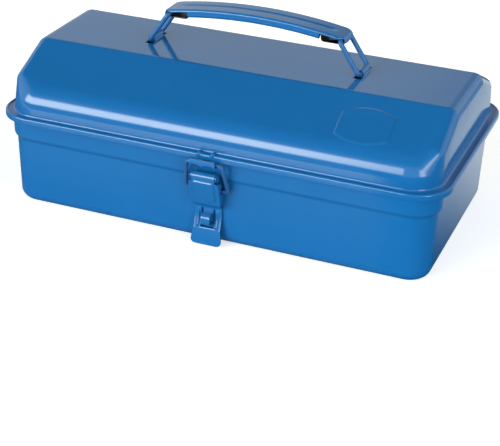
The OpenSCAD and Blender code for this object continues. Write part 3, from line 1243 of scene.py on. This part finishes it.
@dataclass
class Handle:
    """The folding handle: an arched sheet grip on two wire loops, with black guides."""

    crown: float = 157.9
    arch: float = 394.0
    half_width: float = 12.5
    gauge: float = 1.0
    crease: float = 38.0
    groove: float = 0.6
    groove_half: float = 3.4
    groove_end: Span = (59.0, 66.5)
    flat_half: float = 6.6
    edge_radius: float = 1.9
    edge_drop: float = 2.0
    curl_radius: float = 2.8
    curl_drop: float = 4.1
    curl_turn: float = -232.0
    curl_reach: float = 54.6
    curl_steps: int = 26
    taper: Span = (68.5, 75.0)
    taper_width: float = 3.4
    taper_drop: float = 1.1
    bend_start: float = 71.9
    end_bend: float = 3.6
    end_turn: float = math.radians(62)
    full_reach: float = 78.0
    wire_radius: float = 1.9
    wire_corner: float = 3.2
    foot: Span = (87.2, 123.4)
    head: Span = (70.7, 147.9)
    half_depth: float = 11.5
    guide_bevel: float = 0.3

    def along(self, reach: float, y: float, height: float) -> Vector:
        """A point at a distance along the arch, across it and above its top face.

        Args:
            reach: the distance along the arch from its middle.
            y: the distance across.
            height: the height above its top face.

        Returns:
            The point.
        """
        turn = math.asin(reach / self.arch)
        radius = self.arch + height
        return Vector((radius * math.sin(turn), y, self.crown - self.arch + radius * math.cos(turn)))

    def place(self, reach: float, y: float, height: float) -> Vector:
        """A point on the grip's sheet, whose ends bend down past the arch.

        Args:
            reach: distance along the sheet from its middle.
            y: distance across.
            height: height above its top face.

        Returns:
            The point.
        """
        past = abs(reach) - self.bend_start
        if past <= 0:
            return self.along(reach, y, height)
        angle = math.asin(self.bend_start / self.arch) + min(past / self.end_bend, self.end_turn)
        rest = max(0.0, past - self.end_bend * self.end_turn)
        at = self.along(self.bend_start, 0.0, -self.end_bend)
        radius = self.end_bend + height
        x = at.x + radius * math.sin(angle) + rest * math.cos(angle)
        z = at.z + radius * math.cos(angle) - rest * math.sin(angle)
        return Vector((math.copysign(x, reach), y, z))

    def section(self, groove: float, curled: bool, half: float, drop: float) -> list[Vector]:
        """The grip's closed outline at one place, as distance across and height.

        Args:
            groove: depth of the groove along its middle.
            curled: whether its edges are curled in.
            half: half its width.
            drop: how far its plain edges are folded down.

        Returns:
            The outline's points.
        """
        right = [Vector((self.groove_half * k / 12, -groove * 0.5 * (1 + math.cos(math.pi * k / 12)), 0.0))
                 for k in range(13)]
        right.append(Vector((self.flat_half, 0.0, 0.0)))
        edge = min(self.edge_radius, drop)
        right += arc((half - edge, -edge), edge, 90, 0, 10)[:-1]
        middle = (half - self.curl_radius, -self.curl_drop)
        tail = arc(middle, self.curl_radius, 0, self.curl_turn, self.curl_steps)
        right += tail if curled else [Vector((half, -drop - 0.02, 0.0))]
        line = [Vector((-p.x, p.y, 0.0)) for p in reversed(right[1:])] + right
        inner = beside(line, -self.gauge)
        if not curled:
            more = self.curl_steps
            line, inner = ([row[0]] * more + row + [row[-1]] * more for row in (line, inner))
        return line + inner[::-1]

    def sheet(self) -> Item:
        """The grip's sheet in one loft: a curled middle run between two plain ends.

        Returns:
            The sheet.
        """
        curl, end = self.curl_reach, self.full_reach
        plain = [curl + (end - curl) * k / 34 for k in range(35)]
        stations = [(-at, False) for at in reversed(plain)]
        stations += [(-curl + 2 * curl * k / 54, True) for k in range(55)]
        stations += [(at, False) for at in plain]
        rings = []
        for at, curled in stations:
            groove = self.groove * (1.0 - smooth(abs(at), *self.groove_end))
            narrow = smooth(abs(at), *self.taper)
            half = self.half_width - self.taper_width * narrow
            drop = self.edge_drop - self.taper_drop * narrow
            rings.append([self.place(at, p.x, p.y) for p in self.section(groove, curled, half, drop)])
        return loft("grip_pressing", rings, self.crease)

    def wire(self, side: Side) -> Item:
        """The closed wire loop at one end of the handle.

        Args:
            side: the end of the handle.

        Returns:
            The wire.
        """
        (foot_x, foot_z), (head_x, head_z), deep = self.foot, self.head, self.half_depth
        corners = [Vector((side.value * x, y, z)) for x, y, z in (
            (foot_x, -deep, foot_z), (head_x, -deep, head_z), (head_x, deep, head_z), (foot_x, deep, foot_z),
        )]
        path = fillet(corners, [self.wire_corner] * 4, 12, closed=True)
        return bent_wire(f"wire_loop_{side.word}", path, True, self.wire_radius)

    def dress(self) -> None:
        """Builds the grip, its guides and its wires, and sets them on their bodies."""
        dress(self.sheet(), PRESSED_ENAMEL, Body.GRIP, "grip")
        for side in Side:
            node = f"grip_guide_{side.word}"
            dress(frame_copy(node, f"guide_{side.word}"), GUIDE_BLACK, Body.GRIP, node, EDGE_CREASE,
                  self.guide_bevel)
            body = Body.WIRE_LEFT if side is Side.LEFT else Body.WIRE_RIGHT
            dress(self.wire(side), PAINTED_SHADE_ENAMEL, body, body.value)


@dataclass
class Latch:
    """The over-centre draw latch: plate, rivets, pin, lever, wire bail and hook.

    The pin, the bail's ends, the face and the tab are places as Y and Z. A fade, and a ridge's
    edges, run from one place to another. A hook's pair is its plain size and what a scallop adds.
    """

    pin: Span = (-99.3, 59.5)
    pin_profile: tuple[Span, ...] = ((11.1, 0.02), (11.05, 1.9), (10.85, 2.3), (10.55, 2.25), (10.4, 1.5))
    pin_crease: float = 45.0
    bail_foot: Span = (-93.5, 47.0)
    bail_head: Span = (-101.3, 71.4)
    bail_halves: tuple[float, ...] = (-10.8, -17.0, -14.4, 14.4, 17.0, 10.8)
    bail_corners: tuple[float, ...] = (2.6, 4.6, 4.6, 2.6)
    wire_radius: float = 1.6
    wall_foot: float = -88.3
    wall_lean: float = 2.1
    wall_height: float = 54.5
    rivet_heights: Span = (40.0, 47.0)
    rivet_sides: Span = (-1.4, 1.2)
    rivet_radius: float = 2.95
    rivet_crown: float = 0.3
    plate_bevel: float = 0.28
    hook_bevel: float = 0.2
    lever_gauge: float = 1.15
    lever_step: float = 0.62
    roll: float = 3.8
    face: tuple[Span, ...] = ((-96.4, 35.4), (-90.9, 30.5))
    face_top: float = 57.2
    neck_top: float = 26.0
    neck_bend: Span = (20.0, 17.5)
    neck_half: float = 10.95
    tab: tuple[Span, ...] = ((-93.5, 14.1), (-93.8, 13.1), (-96.0, 1.8), (-96.1, 0.8))
    tab_corner: float = 3.6
    tab_flare: float = 1.35
    window: Span = (14.2, 29.8)
    window_half: float = 5.5
    window_front: float = -94.6
    shoulder_half: float = 11.9
    shoulder_step: float = 2.8
    shoulder_fade: Span = (54.9, 56.3)
    neck_fade: Span = (32.0, 35.6)
    tab_fade: Span = (3.5, 13.0)
    panel_middle: float = 47.6
    panel_slant: float = 1.037
    panel_half: Span = (8.9, 9.4)
    panel_corner: float = 2.2
    panel_rise: float = 0.95
    ridge_rise: float = 0.75
    ridge_inside: Span = (6.2, 7.0)
    ridge_outside: Span = (8.4, 9.3)
    ridge_foot: Span = (13.6, 15.2)
    ridge_head: Span = (26.0, 30.6)
    bar_radius: float = 3.15
    bar_half: float = 9.1
    flange_sides: Span = (10.8, 11.85)
    eye_radius: float = 2.8
    hook_half: float = 10.0
    hook_pitch: float = 0.25
    hook_faces: Span = (-96.75, -105.2)
    hook_top: float = 75.4
    hook_foot: Span = (68.7, 1.7)
    hook_gauge: Span = (1.1, -0.65)
    hook_head: Span = (75.3, -0.4)
    hook_rounds: Span = (1.6, 1.2)
    scallop_shift: float = 0.6
    scallop_middle: float = 5.4
    scallop_half: float = 5.2

    def wall_y(self, z: float) -> float:
        """Y of the pan's wall at a height."""
        return self.wall_foot - self.wall_lean * z / self.wall_height

    def bail(self) -> Item:
        """The wire that draws the lid down.

        Returns:
            The wire.
        """
        foot, head = self.bail_foot, self.bail_head
        ends = (foot, foot, head, head, foot, foot)
        corners = [Vector((x, *end)) for x, end in zip(self.bail_halves, ends)]
        return bent_wire("draw_wire", fillet(corners, self.bail_corners, 12), False, self.wire_radius)

    def rivets(self) -> Item:
        """Domed heads inside and outside the wall.

        Returns:
            The heads, as one object.
        """
        work = bmesh.new()
        for z in self.rivet_heights:
            for shift in self.rivet_sides:
                work.verts.new((0.0, self.wall_y(z) + shift, z))
        seed = new_object("plate_rivets", work)
        return RIVETS.grow(seed, PAINTED_SHADE_ENAMEL, Head_Radius=self.rivet_radius * MM, Head_Crown=self.rivet_crown)

    def pin_rod(self) -> Item:
        """The lever's pin, with its two spread heads.

        Returns:
            The pin.
        """
        turns = [2 * math.pi * k / 28 for k in range(28)]
        profile = [(-x, radius) for x, radius in self.pin_profile] + list(reversed(self.pin_profile))
        y, z = self.pin
        rings = [[Vector((x, y + radius * math.cos(t), z + radius * math.sin(t))) for t in turns]
                 for x, radius in profile]
        return loft("lever_pin", rings, self.pin_crease)

    def lever_line(self) -> list[Vector]:
        """The lever's outer face from its roll down to the finger tab, as [Y, Z].

        Returns:
            The line's points, from the top down.
        """
        roll = arc(self.pin, self.roll, 100, 180, 14)
        back = self.face[-1][0]
        face = fillet(flat((self.pin[0] - self.roll, self.face_top), *self.face, (back, self.neck_top)),
                      [2.4, 2.4, 1.5], 8)
        radius, turn = self.neck_bend
        neck = arc((face[-1].x - radius, self.neck_top), radius, 0, -turn, 12)[1:]
        tab = fillet([neck[-1]] + flat(*self.tab), [0.9, 1.2, 3.0], 8)[1:]
        return dense(roll + face + neck + tab, self.lever_step)

    def lever_half(self, z: float) -> float:
        """Half the lever's width at a height.

        Args:
            z: the height.

        Returns:
            Half its width.
        """
        half = self.shoulder_half - self.shoulder_step * smooth(z, *self.shoulder_fade)
        half -= (self.shoulder_half - self.neck_half) * (1.0 - smooth(z, *self.neck_fade))
        half += self.tab_flare * (1.0 - smooth(z, *self.tab_fade))
        corner = self.tab_corner
        low = self.tab[-1][1] + corner - z
        if low > 0:
            half -= corner - math.sqrt(max(0.0, corner**2 - min(low, corner) ** 2))
        return half

    def lever_relief(self, x: float, z: float) -> float:
        """How far the lever's face is pressed out at a place: its panel, and two ridges by its window.

        Args:
            x: the place along the box.
            z: the height.

        Returns:
            The distance outwards.
        """
        half_x, half_z = self.panel_half
        aside, slant = abs(x), abs((z - self.panel_middle) * self.panel_slant)
        inside = min(half_x - aside, half_z - slant)
        past = Vector((aside - half_x + self.panel_corner, slant - half_z + self.panel_corner))
        if past.x > 0 and past.y > 0:
            inside = self.panel_corner - past.length
        ridge = smooth(aside, *self.ridge_inside) - smooth(aside, *self.ridge_outside)
        reach = smooth(z, *self.ridge_foot) * (1.0 - smooth(z, *self.ridge_head))
        return self.panel_rise * smooth(inside, 0.0, 1.0) + self.ridge_rise * ridge * reach

    def lever_plate(self) -> Item:
        """The lever's sheet, with its panel and its window.

        Returns:
            The plate.
        """
        line = self.lever_line()
        inside = beside(line, self.lever_gauge)
        edge = self.window_half
        across = [edge * k / 8 for k in range(8)]
        across += [edge + (self.neck_half - edge) * k / 14 for k in range(15)]
        across = [-v for v in reversed(across[1:])] + across
        outer, inner = [], []
        for point, back in zip(line, inside):
            out = (point - back).normalized()
            xs = [v * self.lever_half(point.y) / self.neck_half for v in across]
            for rows, at in ((outer, point), (inner, back)):
                rows.append([
                    Vector((x, at.x + out.x * rise, at.y + out.y * rise))
                    for x, rise in ((x, self.lever_relief(x, point.y)) for x in xs)
                ])

        def open_at(i: int, j: int) -> bool:
            """Whether a cell lies in the window.

            Args:
                i: the cell's row.
                j: its column.

            Returns:
                True if it does.
            """
            x = (outer[i][j].x + outer[i][j + 1].x) / 2
            z = (line[i].y + line[i + 1].y) / 2
            return abs(x) < edge and self.window[0] < z < self.window[1] and line[i].x > self.window_front

        work = bmesh.new()
        pressed_plate(work, outer, inner, open_at)
        return new_object("lever_plate", work)

    def lever(self) -> Item:
        """The lever: one plate with its panel, window, roll and side flanges.

        Returns:
            The lever, as one object.
        """
        bar = arc(self.pin, self.bar_radius, 0, 352, 44)
        parts = [self.lever_plate(), extrusion("lever_roll", bar, (-self.bar_half, self.bar_half))]
        y, z = self.bail_foot
        flange = flat((-101.6, 55.6), (-95.8, 35.2), (-92.6, 38.5), (y + 2.7, z - 0.8), (y + 2.2, z + 1.8),
                      (-96.4, 55.2))
        for side in Side:
            for outline in (flange, arc((y, z), self.eye_radius, 0, 350, 35)):
                parts.append(extrusion("lever_flange", outline, side.span(*self.flange_sides)))
        return merge("lever_pressing", parts)

    def hook(self) -> Item:
        """The scalloped hook under the lid's lip.

        Returns:
            The hook.
        """
        back, front = self.hook_faces
        rings = []
        for k in range(81):
            x = self.hook_pitch * k - self.hook_half
            away = (abs(x + self.scallop_shift) - self.scallop_middle) / self.scallop_half
            wave = max(0.0, 1.0 - away**2) ** 0.5
            foot, gauge, head = (
                plain + more * wave for plain, more in (self.hook_foot, self.hook_gauge, self.hook_head)
            )
            corners = flat((back, self.hook_top), (back, foot), (front, foot), (front, head))
            line = fillet(corners, self.hook_rounds, 6)
            rings.append([Vector((x, p.x, p.y)) for p in sheet_outline(line, -gauge)])
        return loft("hook_pressing", rings)

    def dress(self) -> None:
        """Builds the latch's pieces and sets them on their bodies."""
        plate = frame_copy("latch_plate", "plate_pressing")
        dress(plate, PRESSED_ENAMEL, Body.BOX, "latch_plate", EDGE_CREASE, self.plate_bevel)
        dress(self.rivets(), PAINTED_SHADE_ENAMEL, Body.BOX, "latch_rivets")
        dress(self.pin_rod(), PAINTED_SHADE_ENAMEL, Body.BOX, "latch_pin")
        dress(self.lever(), PRESSED_ENAMEL, Body.LEVER, "latch_lever", EDGE_CREASE, self.plate_bevel)
        dress(self.bail(), PAINTED_SHADE_ENAMEL, Body.BAIL, "latch_bail")
        dress(self.hook(), PRESSED_ENAMEL, Body.LID, "lid_hook", EDGE_CREASE, self.hook_bevel)


# -------------------------------------------------------------------- studio


@dataclass(frozen=True)
class Window:
    """A soft window of light in the studio, by direction from the box.

    Attributes:
        azimuth: its two sides, in degrees from the front to the right.
        elevation: its foot and its head, in degrees.
        strength: how bright it is, where 1 is white.
        side_edge: how soft its sides are, in degrees.
        top_edge: how soft its foot and its head are, as a sine.
    """

    azimuth: Span
    elevation: Span
    strength: float
    side_edge: float = 5.0
    top_edge: float = 0.08

    def light(self, sheet: NodeSheet, turn: Socket, height: Socket) -> Socket:
        """Adds its light to a tree.

        Args:
            sheet: the tree.
            turn: the direction's azimuth, in radians from the front to the right.
            height: the sine of its elevation.

        Returns:
            The socket with its strength in that direction.
        """
        left, right = (math.radians(v) for v in self.azimuth)
        low, high = (math.sin(math.radians(v)) for v in self.elevation)
        edge, soft = math.radians(self.side_edge), self.top_edge
        bounds = (
            sheet.step(turn, Step(left - edge, left + edge, 0.0, 1.0)),
            sheet.step(turn, Step(right - edge, right + edge, 1.0, 0.0)),
            sheet.step(height, Step(low - soft, low + soft, 0.0, 1.0)),
            sheet.step(height, Step(high - soft, high + soft, 1.0, 0.0)),
        )
        return sheet.math("MULTIPLY", sheet.product(*bounds), self.strength)


@dataclass(frozen=True)
class Lamp:
    """A wide soft light: its name, its place and size in metres, and its brightness."""

    name: str
    place: Place
    size: Span
    level: float


@dataclass
class Studio:
    """A pale floor, soft lights and the camera."""

    azimuth: float = 20.95
    elevation: float = 23.65
    roll: float = 1.90
    distance: float = 1140.8
    target: Place = (0.0, 0.0, 60.17)
    focal: float = 1429.3
    sensor: float = 36.0
    clip_end: float = 50.0
    axis_at: Span = (254.30, 126.97)
    picture: tuple[int, int] = (500, 446)
    white: tuple[float, ...] = (1.0, 1.0, 1.0, 1.0)
    sky: Step = Step(0.50, 0.78, 0.78, 0.05)
    sky_colour: tuple[float, ...] = (0.95, 1.0, 0.95, 1.0)
    behind: Step = Step(math.radians(163), math.radians(172), 1.0, 0.55)
    windows: tuple[Window, ...] = (
        Window((-58.0, -13.0), (3.5, 28.0), 8.3, side_edge=7.0, top_edge=0.07),
        Window((44.0, 64.0), (0.0, 27.0), 5.0, side_edge=6.0),
    )
    lamps: tuple[Lamp, ...] = (
        Lamp("overhead", (-0.1, -0.35, 1.9), (1.6, 1.2), 0.15),
        Lamp("right", (1.6, -0.15, 0.75), (1.2, 1.2), 1.5),
    )
    lamp_target: Place = (0.0, 0.0, 0.1)
    floor_size: float = 6000.0
    floor_colour: tuple[float, ...] = (0.82, 0.82, 0.82, 1.0)
    floor_glow: float = 0.6
    glossy_colour: tuple[float, ...] = (0.94, 1.0, 0.93, 1.0)
    front_slant: float = -0.275
    front_side: Step = Step(0.142, 0.176, 1.0, 0.0)
    # In gloss the floor is dimmer close to the front of the box: a painted shadow of the box, seen in its
    # reflections.
    front_near: Step = Step(-0.175, -0.105, 0.28, 0.10)
    front_band: tuple[Step, Step] = (Step(-0.272, -0.236, 1.5, 0.0), Step(-0.335, -0.295, 0.0, 1.0))
    end_depth: Step = Step(-0.075, 0.20, 0.0, 0.85)
    end_sides: tuple[Step, Step] = (Step(0.150, 0.178, 0.0, 1.0), Step(0.205, 0.265, 1.0, 0.42))

    def camera(self) -> None:
        """Sets the camera at the viewing angle, with its framing in the shift."""
        az, el, roll = (math.radians(v) for v in (self.azimuth, self.elevation, self.roll))
        back = Vector((math.sin(az) * math.cos(el), -math.cos(az) * math.cos(el), math.sin(el)))
        right = Vector((math.cos(az), math.sin(az), 0.0))
        up = right.cross(-back)
        turned_right = right * math.cos(roll) + up * math.sin(roll)
        turned_up = -right * math.sin(roll) + up * math.cos(roll)
        data = bpy.data.cameras.new("view")
        data.sensor_width = self.sensor
        data.lens = self.focal * self.sensor / self.picture[0]
        data.shift_x = (self.picture[0] / 2 - self.axis_at[0]) / self.picture[0]
        data.shift_y = (self.axis_at[1] - self.picture[1] / 2) / self.picture[0]
        data.clip_end = self.clip_end
        place = (Vector(self.target) + back * self.distance) * MM
        turn = Matrix((turned_right, turned_up, back)).transposed().to_4x4()
        made = linked("view", data)
        made.matrix_world = Matrix.Translation(place) @ turn
        bpy.context.scene.camera = made

    def strips(self, sheet: NodeSheet) -> Socket:
        """The light of the floor's strips in front of the box and past its right end.

        Args:
            sheet: the floor's tree.

        Returns:
            The socket with their strength.
        """
        place = sheet.add("ShaderNodeTexCoord")
        split = sheet.add("ShaderNodeSeparateXYZ", in_0=place.outputs["Object"])
        across, along = split.outputs["X"], split.outputs["Y"]
        slanted = sheet.math("MULTIPLY_ADD", along, self.front_slant, across)
        band = sheet.product(*(sheet.step(along, step) for step in self.front_band))
        # The near step is a painted shadow of the box on the floor, as the box's surfaces reflect it.
        front = sheet.product(sheet.step(slanted, self.front_side),
                              sheet.math("ADD", sheet.step(along, self.front_near), band))
        sides = sheet.product(*(sheet.step(across, step) for step in self.end_sides))
        return sheet.math("ADD", front, sheet.product(sheet.step(along, self.end_depth), sides))

    def floor(self) -> None:
        """A wide pale floor: white to the camera, matt to the rest, and lit strips in gloss."""
        work = bmesh.new()
        bmesh.ops.create_grid(work, x_segments=1, y_segments=1, size=self.floor_size)
        made = new_object("floor", work)
        material = bpy.data.materials.new("floor_pale")
        material.use_nodes = True
        sheet = NodeSheet(material.node_tree)
        material.node_tree.nodes.remove(material.node_tree.nodes["Principled BSDF"])
        path = sheet.add("ShaderNodeLightPath")
        matt = sheet.add("ShaderNodeBsdfDiffuse", in_Color=self.floor_colour)
        level = sheet.math("MULTIPLY", path.outputs["Is Camera Ray"], self.floor_glow)
        glow = sheet.add("ShaderNodeEmission", in_Color=self.white, in_Strength=level)
        both = sheet.add("ShaderNodeAddShader", in_0=matt.outputs[0], in_1=glow.outputs[0])
        mirrored = sheet.add("ShaderNodeEmission", in_Color=self.glossy_colour,
                             in_Strength=self.strips(sheet))
        sheet.show("Is Glossy Ray", both, mirrored, material.node_tree.nodes["Material Output"])
        made.data.materials.append(material)

    def world(self) -> None:
        """A pale studio, darker overhead and straight behind, with soft windows; white where it is seen."""
        world = bpy.data.worlds.new("studio")
        bpy.context.scene.world = world
        world.use_nodes = True
        sheet = NodeSheet(world.node_tree)
        way = sheet.add("ShaderNodeTexCoord")
        split = sheet.add("ShaderNodeSeparateXYZ", in_0=way.outputs["Generated"])
        height = split.outputs["Z"]
        turn = sheet.math("ARCTAN2", split.outputs["X"], sheet.math("MULTIPLY", split.outputs["Y"], -1.0))
        shade = sheet.step(sheet.math("ABSOLUTE", turn), self.behind)
        total = sheet.product(sheet.step(height, self.sky), shade)
        for window in self.windows:
            total = sheet.math("ADD", total, window.light(sheet, turn, height))
        lit = world.node_tree.nodes["Background"]
        lit.inputs["Color"].default_value = self.sky_colour
        sheet.join(total, lit.inputs["Strength"])
        seen = sheet.add("ShaderNodeBackground", in_Color=self.white, in_Strength=1.0)
        sheet.show("Is Camera Ray", lit, seen, world.node_tree.nodes["World Output"])

    def lamp(self, lamp: Lamp) -> None:
        """Hangs one wide soft light that gloss doesn't show.

        Args:
            lamp: the light.
        """
        data = bpy.data.lights.new(lamp.name, "AREA")
        data.shape = "RECTANGLE"
        data.size, data.size_y = lamp.size
        data.energy = lamp.level * math.pi * data.size * data.size_y
        away = Vector(lamp.place) - Vector(self.lamp_target)
        made = linked(lamp.name, data)
        made.location = lamp.place
        made.rotation_euler = away.to_track_quat("Z", "Y").to_euler()
        made.visible_glossy = False
        made.visible_camera = False

    def build(self) -> None:
        """Sets up the camera, floor, world and lights."""
        self.camera()
        self.floor()
        self.world()
        for lamp in self.lamps:
            self.lamp(lamp)
        bpy.context.scene.view_settings.view_transform = "Standard"


def main() -> None:
    """Builds the studio and every piece, in order."""
    logging.basicConfig(level=logging.INFO, format="%(name)s %(message)s")
    Studio().build()
    rim = Rim()
    Pan(rim).dress()
    Lid(rim).dress()
    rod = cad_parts["hinge_rod"]
    rod.data.materials.clear()
    rod.data.materials.append(PAINTED_SHADE_ENAMEL.material())
    LOG.info("hinge_rod: kept from the frame")
    Handle().dress()
    Latch().dress()


if __name__ == "__main__":
    main()
